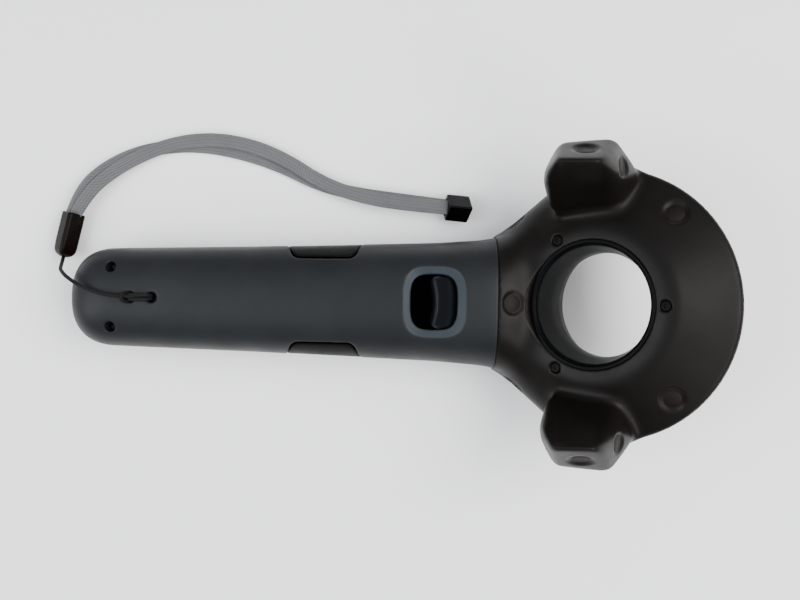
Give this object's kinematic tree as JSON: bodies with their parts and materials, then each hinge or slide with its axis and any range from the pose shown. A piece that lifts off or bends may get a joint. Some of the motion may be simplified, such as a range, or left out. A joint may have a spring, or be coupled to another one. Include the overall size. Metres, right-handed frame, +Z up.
{
  "type": "vr motion controller",
  "caption": "Hand-held motion controller: long rounded grip with trigger, trackpad and side squeeze pads, tilted ring head with two lobes and sensor dimples, and a wrist lanyard.",
  "frame": {"origin": "bottom centre of the controller without its lanyard, on the surface it lies on, trackpad side down", "axes": "+X from the butt towards the ring head, +Y to the left of that, +Z up out of the trigger side"},
  "size_m": [0.2298, 0.1108, 0.065],
  "materials": {
    "handle_plastic": "fine matte charcoal moulded plastic",
    "head_plastic": "satin black infrared-clear plastic",
    "sleeve_plastic": "satin dark grey plastic",
    "trigger_plastic": "smooth dark plastic",
    "grip_plastic": "fine matte plastic",
    "button_plastic": "satin button plastic",
    "trackpad_surface": "fine matte touch surface",
    "led_lens": "frosted clear lens",
    "screw_steel": "black oxide steel",
    "pin_steel": "bright steel",
    "spring_steel": "spring steel",
    "magnet_nickel": "nickel plated magnet",
    "inner_plastic": "plain inner moulding",
    "board_green": "circuit board with solder mask",
    "chip_black": "chip packages and shield can",
    "switch_plastic": "small switch body",
    "battery_foil": "foil cell with clear wrap",
    "foam_pad": "closed foam",
    "lead_wire": "red and black insulated lead",
    "haptic_steel": "stamped steel can",
    "usb_steel": "stamped steel socket",
    "ribbon_film": "amber flex film",
    "sensor_glass": "dark filter over a sensor",
    "cord_black": "thin braided cord",
    "clip_plastic": "black plastic with light scratches",
    "strap_fabric": "light grey woven tape",
    "slider_plastic": "smooth black plastic"
  },
  "bodies": {
    "controller": {"handle_rear_shell": "handle_plastic", "handle_front_shell": "handle_plastic", "head_rear_shell": "head_plastic", "head_front_shell": "head_plastic", "bore_sleeve": "sleeve_plastic", "ring_screws": "screw_steel", "butt_screws": "screw_steel", "sensor_frame": "inner_plastic", "sensor_modules": "sensor_glass", "head_board": "board_green", "neck_ribbon": "ribbon_film", "trigger_pin": "pin_steel", "trigger_bracket": "inner_plastic", "trigger_sensor": "board_green", "grip_switch_left": "switch_plastic", "grip_switch_right": "switch_plastic", "trackpad_board": "board_green", "trackpad_dome": "spring_steel", "menu_switch": "switch_plastic", "system_switch": "switch_plastic", "button_board": "board_green", "status_led": "led_lens", "mid_chassis": "inner_plastic", "chassis_screws": "pin_steel", "main_board": "board_green", "main_board_chips": "chip_black", "usb_port": "usb_steel", "battery": "battery_foil", "battery_pad": "foam_pad", "battery_lead": "lead_wire", "haptic_actuator": "haptic_steel", "lanyard_cord": "cord_black", "lanyard_clip": "clip_plastic", "strap_leg_a": "strap_fabric", "strap_leg_b": "strap_fabric"},
    "trigger": {"trigger": "trigger_plastic", "trigger_magnet": "magnet_nickel", "trigger_spring": "spring_steel"},
    "trackpad": {"trackpad": "trackpad_surface"},
    "menu_button": {"menu_button": "button_plastic"},
    "system_button": {"system_button": "button_plastic"},
    "grip_left": {"grip_button_left": "grip_plastic"},
    "grip_right": {"grip_button_right": "grip_plastic"},
    "strap_slider": {"strap_slider": "slider_plastic"}
  },
  "joints": [
    {"name": "trigger_pull", "type": "hinge", "parent": "controller", "child": "trigger", "pos_m": [0.02495, 0, 0.0145], "axis": [0, -1, 0], "range_deg": [0, 15], "stiffness_Nm_per_rad": 0.25, "springref_deg": -8.59},
    {"name": "trackpad_click", "type": "slide", "parent": "controller", "child": "trackpad", "axis": [0, 0, 1], "range_m": [0, 0.0005], "stiffness_N_per_m": 3000, "springref_m": -0.0002},
    {"name": "menu_press", "type": "slide", "parent": "controller", "child": "menu_button", "axis": [0, 0, 1], "range_m": [0, 0.0005], "stiffness_N_per_m": 2500, "springref_m": -0.0002},
    {"name": "system_press", "type": "slide", "parent": "controller", "child": "system_button", "axis": [0, 0, 1], "range_m": [0, 0.0005], "stiffness_N_per_m": 2500, "springref_m": -0.0002},
    {"name": "grip_left_squeeze", "type": "slide", "parent": "controller", "child": "grip_left", "axis": [0, -1, 0], "range_m": [0, 0.0004], "stiffness_N_per_m": 3000, "springref_m": -0.0002},
    {"name": "grip_right_squeeze", "type": "slide", "parent": "controller", "child": "grip_right", "axis": [0, 1, 0], "range_m": [0, 0.0004], "stiffness_N_per_m": 3000, "springref_m": -0.0002},
    {"name": "slider_travel", "type": "slide", "parent": "controller", "child": "strap_slider", "axis": [-0.9968, 0.0802, 0], "range_m": [0, 0.01]}
  ]
}
